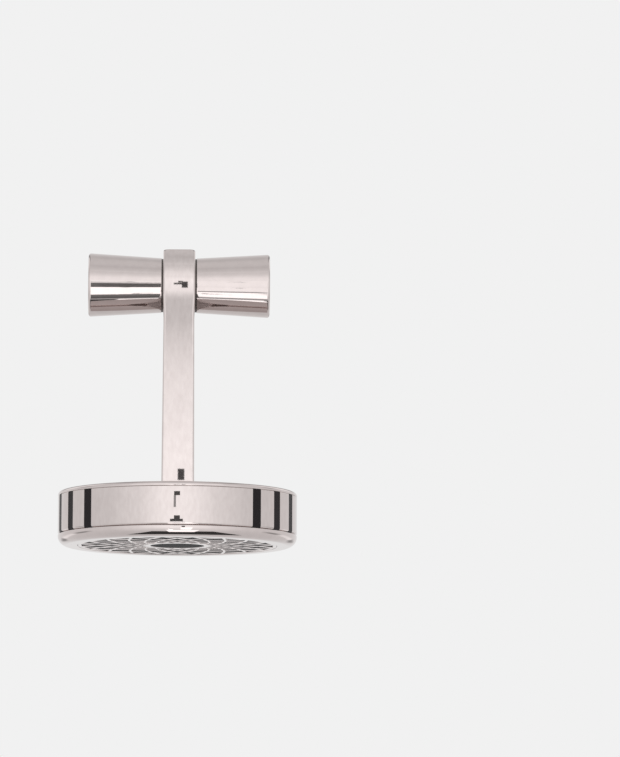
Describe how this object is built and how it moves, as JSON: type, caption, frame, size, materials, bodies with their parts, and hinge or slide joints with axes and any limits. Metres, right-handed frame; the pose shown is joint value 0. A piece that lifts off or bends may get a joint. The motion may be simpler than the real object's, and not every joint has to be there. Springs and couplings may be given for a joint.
{
  "type": "cufflink",
  "caption": "Round steel cufflink with black enamel face, barred rim, forked post and waisted toggle that swivels in line with the post.",
  "frame": {"origin": "centre of the head on the plane of the bezel's face, the lowest plane of the part", "axes": "+Z from the face along the post to the toggle, +X along the toggle at rest, -Y the pictured front"},
  "size_m": [0.018, 0.018, 0.0222],
  "materials": {
    "polished_steel": "mirror polished",
    "satin_steel": "finely lapped",
    "black_enamel": "rubbed matt",
    "black_lacquer": "semi-gloss",
    "turned_steel": "turned",
    "spring_steel": "tempered"
  },
  "bodies": {
    "link": {"bezel_ring": "polished_steel", "back_cover": "polished_steel", "pivot_pin": "polished_steel", "face_plate": "polished_steel", "case_band": "satin_steel", "post_fork": "satin_steel", "enamel_row_1": "black_enamel", "enamel_row_2": "black_enamel", "enamel_row_3": "black_enamel", "enamel_row_4": "black_enamel", "enamel_row_5": "black_enamel", "enamel_row_6": "black_enamel", "enamel_boss": "black_enamel", "rim_inlay_1": "black_lacquer", "rim_inlay_2": "black_lacquer", "rim_inlay_3": "black_lacquer", "rim_inlay_4": "black_lacquer", "rim_inlay_5": "black_lacquer", "rim_inlay_6": "black_lacquer", "spacer_ring": "turned_steel", "post_screw": "turned_steel", "thrust_washer_front": "turned_steel", "thrust_washer_back": "turned_steel"},
    "toggle": {"toggle_barrel": "polished_steel", "end_plug_left": "polished_steel", "end_plug_right": "polished_steel", "click_spring": "spring_steel"}
  },
  "joints": [
    {"name": "toggle_swivel", "type": "hinge", "parent": "link", "child": "toggle", "pos_m": [0, 0, 0.0198], "axis": [0, 1, 0], "range_deg": [-90, 90], "deforming": ["click_spring"]}
  ]
}
